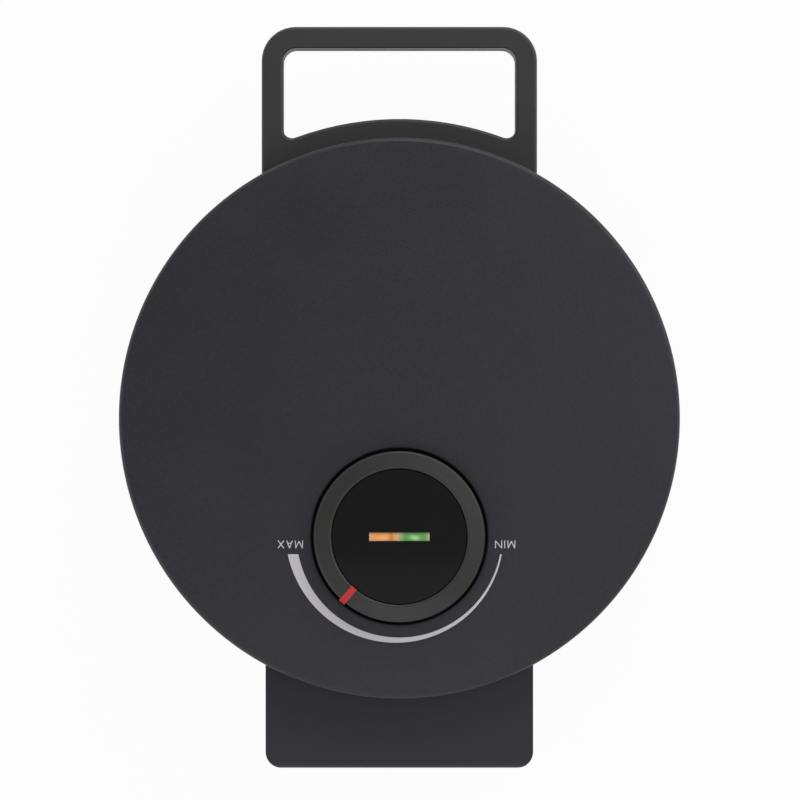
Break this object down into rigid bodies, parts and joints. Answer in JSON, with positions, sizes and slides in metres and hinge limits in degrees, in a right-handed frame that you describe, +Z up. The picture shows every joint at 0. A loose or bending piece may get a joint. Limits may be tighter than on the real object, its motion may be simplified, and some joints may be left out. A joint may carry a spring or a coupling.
{
  "type": "heart waffle maker",
  "caption": "Round countertop waffle maker with heart-shaped pockets, floating hinged lid, loop handles and a thermostat knob on the lid",
  "frame": {"origin": "centre of the bottom of the closed appliance, on the surface that its feet stand on", "axes": "+Z up, -Y towards the handles at the front, +Y towards the hinge at the back, +X to the right of a user at the handles' side who faces the hinge"},
  "size_m": [0.21, 0.279, 0.0928],
  "materials": {
    "housing_plastic": "Black glass-filled heat-resistant plastic with a fine moulded grain",
    "handle_plastic": "Charcoal moulded plastic, satin",
    "lid_plastic": "Dark anthracite moulded plastic with a fine spark grain",
    "knob_plastic": "Dark grey moulded plastic, satin",
    "gloss_cap": "Glossy black moulded plastic",
    "pointer_plastic": "Red moulded plastic",
    "orange_window": "Clear orange acrylic",
    "green_window": "Clear green acrylic",
    "lamp_glass": "Small glass indicator lamps",
    "foot_rubber": "Black moulded rubber",
    "gland_rubber": "Black moulded rubber",
    "nonstick_casting": "Cast aluminium with black non-stick coating",
    "element_sheath": "Stainless sheath of a tubular heating element, heat tinted",
    "zinc_sheet": "Zinc-plated sheet steel",
    "zinc_screws": "Zinc-plated steel screws",
    "bright_sheet": "Bright aluminised reflector sheet",
    "steel_pins": "Turned steel",
    "spring_steel": "Blued spring steel",
    "terminal_plastic": "Natural white heat-resistant plastic",
    "brass_fittings": "Brass contacts and terminals",
    "white_ceramic": "Steatite ceramic",
    "bimetal": "Bimetal strip",
    "fuse_case": "Small metal fuse case",
    "silicone_leads": "Silicone-sheathed leads"
  },
  "bodies": {
    "base": {"base_shell": "housing_plastic", "rubber_feet": "foot_rubber", "hinge_housing_cover": "housing_plastic", "housing_cover_screws": "zinc_screws", "cord_gland": "gland_rubber", "terminal_block": "terminal_plastic", "terminal_screws": "brass_fittings", "lower_baking_plate": "nonstick_casting", "lower_heating_element": "element_sheath", "lower_element_clamps": "zinc_sheet", "lower_clamp_screws": "zinc_screws", "lower_reflector": "bright_sheet", "base_plate_screws": "zinc_screws", "base_leads": "silicone_leads"},
    "hinge_pins": {"hinge_pins": "steel_pins", "hinge_pin_clips": "steel_pins"},
    "lid": {"upper_baking_plate": "nonstick_casting", "upper_heating_element": "element_sheath", "upper_element_clamps": "zinc_sheet", "upper_clamp_screws": "zinc_screws", "upper_reflector": "bright_sheet", "lid_plate_screws": "zinc_screws", "lid_frame": "handle_plastic", "lid_cover": "lid_plastic", "thermostat_bracket": "zinc_sheet", "thermostat_screws": "zinc_screws", "thermostat_insulators": "white_ceramic", "thermostat_bimetal": "bimetal", "thermostat_leaves": "brass_fittings", "thermostat_rivet": "steel_pins", "knob_cap": "gloss_cap", "orange_lens": "orange_window", "green_lens": "green_window", "lamp_holder": "terminal_plastic", "indicator_lamps": "lamp_glass", "thermal_fuse": "fuse_case", "fuse_clip": "zinc_sheet", "fuse_clip_rivets": "fuse_case", "lid_leads": "silicone_leads", "lamp_leads": "silicone_leads"},
    "knob": {"control_knob": "knob_plastic", "knob_pointer": "pointer_plastic", "knob_spring_clip": "spring_steel", "thermostat_spindle": "steel_pins"}
  },
  "joints": [
    {"name": "hinge_float", "type": "slide", "parent": "base", "child": "hinge_pins", "axis": [0, 0, 1], "range_m": [0, 0.003]},
    {"name": "lid_hinge", "type": "hinge", "parent": "hinge_pins", "child": "lid", "pos_m": [0, 0.1265, 0.046], "axis": [-1, 0, 0], "range_deg": [0, 100]},
    {"name": "knob_turn", "type": "hinge", "parent": "lid", "child": "knob", "pos_m": [0, 0.0521, 0.079], "axis": [0, 0, 1], "range_deg": [-38.7, 121.3]}
  ]
}
